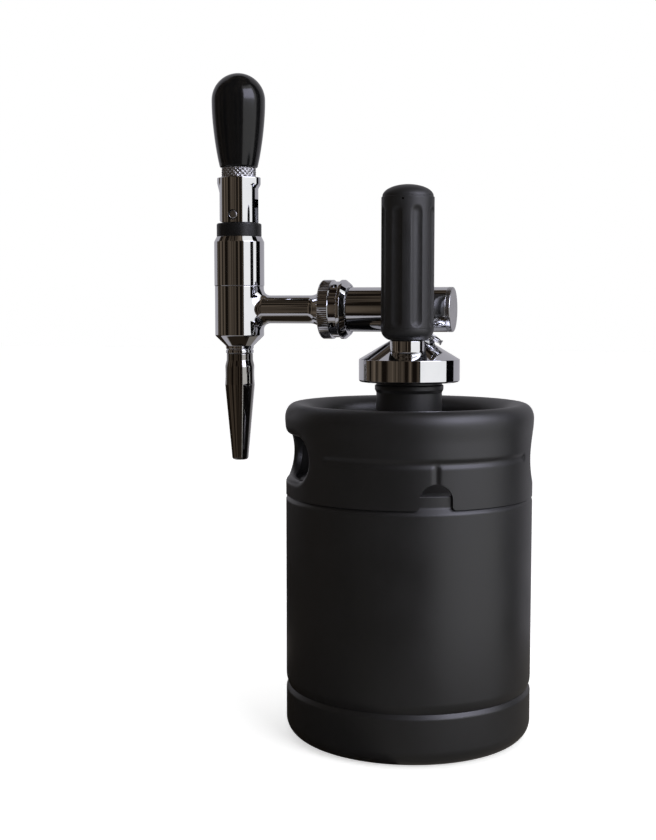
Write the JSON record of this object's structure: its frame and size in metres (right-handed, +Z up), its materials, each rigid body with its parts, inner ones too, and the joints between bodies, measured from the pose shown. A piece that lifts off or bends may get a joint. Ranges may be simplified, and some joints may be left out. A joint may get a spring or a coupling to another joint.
{
  "type": "nitro cold brew dispenser",
  "caption": "Black steel mini keg with a chromed screw lid that carries a fluted gas charger, a relief valve with pull ring and a lever-operated stout tap for pouring nitrogenated coffee.",
  "frame": {"origin": "centre of the keg's foot, on the floor", "axes": "+Z up the keg's axis; +X along the lid's pipe, from the tap towards the pipe's plugged end; the gas charger stands on the -Y side of the pipe"},
  "size_m": [0.1783, 0.131, 0.3534],
  "materials": {
    "keg_paint": "matte black powder coat on steel",
    "chrome": "polished chrome plate",
    "dark_chrome": "polished steel, a little darker than the plate",
    "satin_steel": "satin turned steel",
    "cartridge_steel": "bare drawn steel",
    "sleeve_black": "matte black coating",
    "handle_black": "glossy black moulding",
    "black_plastic": "satin black plastic",
    "pale_plastic": "natural moulded plastic",
    "black_rubber": "moulded rubber",
    "silicone": "pale silicone",
    "brass": "turned brass"
  },
  "bodies": {
    "keg": {"keg_vessel": "keg_paint", "top_chime": "keg_paint", "base_chime": "keg_paint", "keg_neck": "keg_paint"},
    "lid_seal": {"lid_gasket": "silicone"},
    "lid": {"lid_cap": "chrome", "manifold_pipe": "chrome", "pipe_plug": "satin_steel", "plug_seal": "black_rubber", "stem_nut": "satin_steel", "stem_gasket": "silicone", "dip_tube": "satin_steel", "shank": "chrome", "charger_boss": "chrome", "piercing_pin": "satin_steel", "charger_seal": "black_rubber", "charger_base": "sleeve_black", "relief_body": "chrome", "relief_seat_ring": "brass", "relief_spring": "satin_steel", "coupling_gasket": "black_rubber"},
    "cartridge": {"gas_cartridge": "cartridge_steel"},
    "sleeve": {"charger_sleeve": "sleeve_black"},
    "relief_pin": {"relief_pin": "satin_steel", "relief_seal": "black_rubber"},
    "pull_ring": {"pull_ring": "satin_steel"},
    "tap": {"tap_body": "chrome", "tap_bonnet": "chrome", "bonnet_gasket": "black_rubber", "cam_washer": "black_plastic", "nozzle": "dark_chrome", "restrictor_disc": "satin_steel", "nozzle_gasket": "black_rubber", "flow_straightener": "pale_plastic"},
    "coupling_nut": {"coupling_nut": "chrome"},
    "plunger": {"tap_plunger": "satin_steel", "seat_washer": "black_rubber", "lower_piston_seal": "black_rubber", "upper_piston_seal": "black_rubber", "lever_pin": "satin_steel"},
    "lever": {"lever_yoke": "chrome", "lever_stud": "satin_steel", "lock_ring": "satin_steel", "handle_insert": "brass", "tap_handle": "handle_black"}
  },
  "joints": [
    {"name": "lid_lift", "type": "slide", "parent": "keg", "child": "lid_seal", "axis": [0, 0, 1], "range_m": [0, 0.008]},
    {"name": "lid_turn", "type": "hinge", "parent": "lid_seal", "child": "lid", "pos_m": [0, 0, 0.196], "axis": [0, 0, 1], "range_deg": [0, 720]},
    {"name": "cartridge_lift", "type": "slide", "parent": "lid", "child": "cartridge", "axis": [0, 0, 1], "range_m": [0, 0.009]},
    {"name": "sleeve_turn", "type": "hinge", "parent": "cartridge", "child": "sleeve", "pos_m": [0.0022, -0.0155, 0.25], "axis": [0, 0, 1], "range_deg": [0, 1620]},
    {"name": "relief_pull", "type": "slide", "parent": "lid", "child": "relief_pin", "axis": [0, 0, 1], "range_m": [0, 0.002], "stiffness_N_per_m": 800, "springref_m": -0.002, "deforming": ["relief_spring"]},
    {"name": "ring_swing", "type": "hinge", "parent": "relief_pin", "child": "pull_ring", "pos_m": [0.0095, -0.001, 0.21295], "axis": [0.0349, -0.9994, 0], "range_deg": [0, 30]},
    {"name": "tap_draw", "type": "slide", "parent": "lid", "child": "tap", "axis": [-1, 0, 0], "range_m": [0, 0.0075]},
    {"name": "nut_turn", "type": "hinge", "parent": "tap", "child": "coupling_nut", "pos_m": [-0.0425, 0.011, 0.2254], "axis": [-1, 0, 0], "range_deg": [0, 1800]},
    {"name": "plunger_lift", "type": "slide", "parent": "tap", "child": "plunger", "axis": [0, 0, 1], "range_m": [0, 0.00524]},
    {"name": "lever_tilt", "type": "hinge", "parent": "plunger", "child": "lever", "pos_m": [-0.0982, 0.011, 0.2767], "axis": [0, -1, 0], "range_deg": [0, 50]}
  ],
  "couplings": [
    {"joint": "lid_lift", "follows": "lid_turn", "m_per_rad": 0.00063662},
    {"joint": "cartridge_lift", "follows": "sleeve_turn", "m_per_rad": 0.00031831},
    {"joint": "nut_turn", "follows": "tap_draw", "rad_per_m": 4188.8},
    {"joint": "plunger_lift", "follows": "lever_tilt", "m_per_rad": 0.006}
  ]
}
